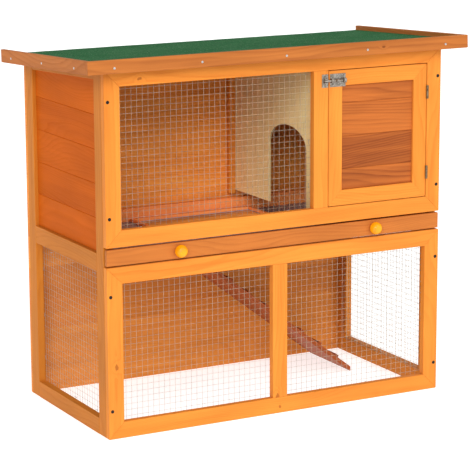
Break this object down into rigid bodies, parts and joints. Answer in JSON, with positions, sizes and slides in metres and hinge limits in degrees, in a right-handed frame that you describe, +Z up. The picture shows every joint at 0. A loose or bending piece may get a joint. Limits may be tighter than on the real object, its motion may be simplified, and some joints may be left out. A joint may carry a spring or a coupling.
{
  "type": "rabbit hutch",
  "caption": "Two-storey wooden rabbit hutch with sloping felted lid roof, wire mesh windows, nest door, slide-out tray, arched divider and ramp.",
  "frame": {"origin": "on the ground under the middle of the roof", "axes": "+Z up, the front panels, door and tray knobs face -Y, +X to the right seen from the front, where the door is"},
  "size_m": [0.9012, 0.4516, 0.792],
  "materials": {
    "frame_wood": "orange-stained fir, satin",
    "board_wood": "darker orange-stained fir boards, satin",
    "fascia_wood": "reddish-orange stained fir, satin",
    "tray_wood": "reddish-orange stained fir, satin",
    "plywood": "bare beige plywood",
    "roof_felt": "green mineral roofing felt, rough",
    "mesh_wire": "galvanised welded wire",
    "hardware": "zinc-plated steel",
    "tray_metal": "galvanised sheet",
    "black_screw": "black oxide",
    "nail": "bright nail heads",
    "knob_plastic": "yellow lacquer"
  },
  "bodies": {
    "hutch": {"assembly_screws": "black_screw", "back_boards": "board_wood", "back_divider_batten": "frame_wood", "divider": "plywood", "door_hinge_frame_leaves": "hardware", "door_hinge_pins": "hardware", "latch_keeper": "hardware", "left_side_boards": "board_wood", "left_side_bottom_rail": "frame_wood", "left_side_front_post": "frame_wood", "left_side_mesh": "mesh_wire", "left_side_mid_rail": "frame_wood", "left_side_rear_post": "frame_wood", "left_side_top_rail": "frame_wood", "lower_front_bottom_rail": "frame_wood", "lower_front_left_stile": "frame_wood", "lower_front_mesh": "mesh_wire", "lower_front_mid_stile": "frame_wood", "lower_front_right_stile": "frame_wood", "lower_front_top_rail": "frame_wood", "ramp_bar": "board_wood", "ramp_board": "board_wood", "ramp_cleats": "board_wood", "right_side_boards": "board_wood", "right_side_bottom_rail": "frame_wood", "right_side_front_post": "frame_wood", "right_side_mesh": "mesh_wire", "right_side_mid_rail": "frame_wood", "right_side_rear_post": "frame_wood", "right_side_top_rail": "frame_wood", "roof_hinge_back_leaves": "hardware", "roof_hinge_pins": "hardware", "tray_runners": "frame_wood", "upper_front_bottom_rail": "frame_wood", "upper_front_left_stile": "frame_wood", "upper_front_mesh": "mesh_wire", "upper_front_mid_stile": "frame_wood", "upper_front_right_stile": "frame_wood", "upper_front_top_rail": "frame_wood"},
    "roof_lid": {"roof_board": "fascia_wood", "roof_felt": "roof_felt", "roof_front_fascia": "fascia_wood", "roof_left_fascia": "fascia_wood", "roof_right_fascia": "fascia_wood", "fascia_nails": "nail", "roof_hinge_lid_leaves": "hardware"},
    "door": {"door_left_stile": "frame_wood", "door_right_stile": "frame_wood", "door_top_rail": "frame_wood", "door_bottom_rail": "frame_wood", "door_boards": "board_wood", "door_hinge_door_leaves": "hardware", "latch_plate": "hardware"},
    "latch_bolt": {"latch_bolt": "hardware"},
    "tray": {"tray_front": "tray_wood", "tray_side_boards": "tray_wood", "tray_rear_board": "tray_wood", "tray_floor": "tray_metal", "tray_hole_rim": "frame_wood", "tray_knobs": "knob_plastic"}
  },
  "joints": [
    {"name": "roof_lid_hinge", "type": "hinge", "parent": "hutch", "child": "roof_lid", "pos_m": [0, 0.2194, 0.7439], "axis": [-1, 0, 0], "range_deg": [0, 85]},
    {"name": "door_hinge", "type": "hinge", "parent": "hutch", "child": "door", "pos_m": [0.366, -0.1979, 0.582], "axis": [0, 0, 1], "range_deg": [0, 170]},
    {"name": "latch_bolt_slide", "type": "slide", "parent": "door", "child": "latch_bolt", "axis": [1, 0, 0], "range_m": [0, 0.014]},
    {"name": "tray_slide", "type": "slide", "parent": "hutch", "child": "tray", "axis": [0, -1, 0], "range_m": [0, 0.34]}
  ]
}
